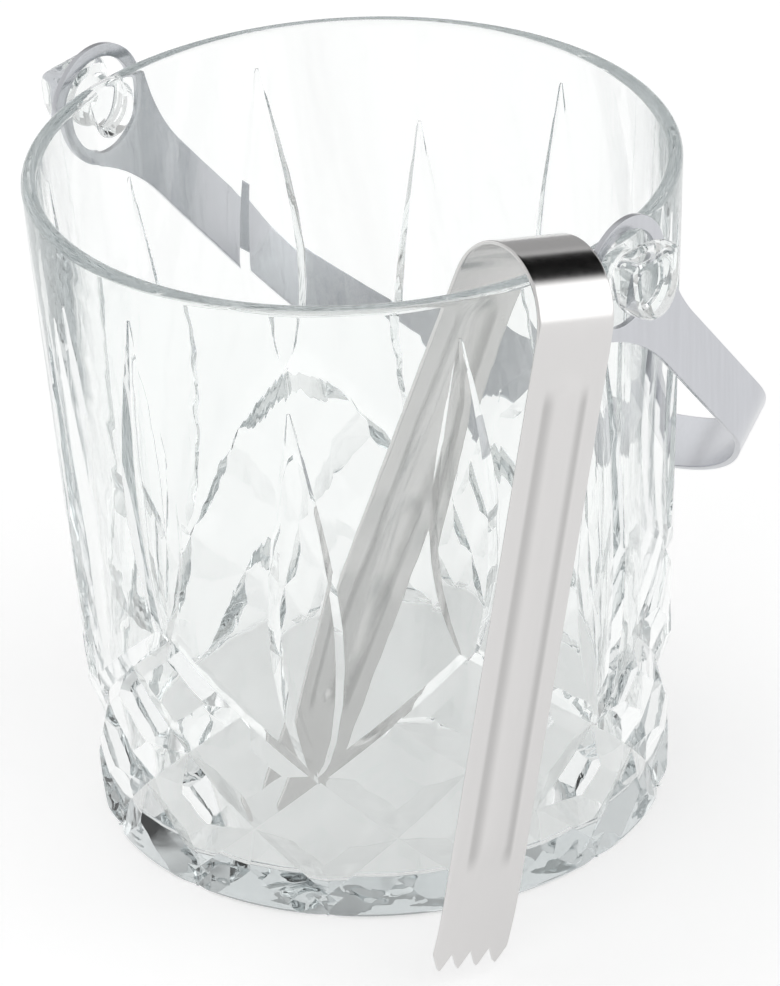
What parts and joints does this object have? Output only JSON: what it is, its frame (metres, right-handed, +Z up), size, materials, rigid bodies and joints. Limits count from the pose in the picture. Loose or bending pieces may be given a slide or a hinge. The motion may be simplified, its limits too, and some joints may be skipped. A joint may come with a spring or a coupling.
{
  "type": "ice bucket",
  "caption": "Tapered cut-glass ice bucket with moulded side lugs, a folding steel bail handle and spring tongs hung over the rim.",
  "frame": {"origin": "centre of the bucket's flat underside, on the table", "axes": "+X along the lug axis towards the lug beside the tongs, +Y towards the folded handle, +Z up"},
  "size_m": [0.1542, 0.1382, 0.1489],
  "materials": {
    "glass": "clear pressed glass with fire-polished cut facets",
    "handle_steel": "satin stainless strip, polished inside",
    "tong_steel": "bright polished stainless spring strip"
  },
  "bodies": {
    "bucket": {"glass_bucket": "glass"},
    "handle": {"bail_handle": "handle_steel"},
    "tongs": {"tongs_bow": "tong_steel"},
    "outer_arm": {"tongs_outer_arm": "tong_steel"},
    "inner_arm": {"tongs_inner_arm": "tong_steel"}
  },
  "joints": [
    {"name": "handle_swing", "type": "hinge", "parent": "bucket", "child": "handle", "pos_m": [0, 0, 0.133], "axis": [1, 0, 0], "range_deg": [0, 140]},
    {"name": "tongs_lift", "type": "slide", "parent": "bucket", "child": "tongs", "axis": [0, 0, 1], "range_m": [0, 0.15]},
    {"name": "outer_arm_squeeze", "type": "hinge", "parent": "tongs", "child": "outer_arm", "pos_m": [0.07486, -0.02464, 0.13282], "axis": [0.265, 0.9364, -0.2301], "range_deg": [0, 3.5], "stiffness_Nm_per_rad": 1.2},
    {"name": "inner_arm_squeeze", "type": "hinge", "parent": "tongs", "child": "inner_arm", "pos_m": [0.04879, -0.01632, 0.13665], "axis": [-0.265, -0.9364, 0.2301], "range_deg": [0, 3.5], "stiffness_Nm_per_rad": 1.2}
  ],
  "couplings": [
    {"joint": "inner_arm_squeeze", "follows": "outer_arm_squeeze", "ratio": 1}
  ]
}
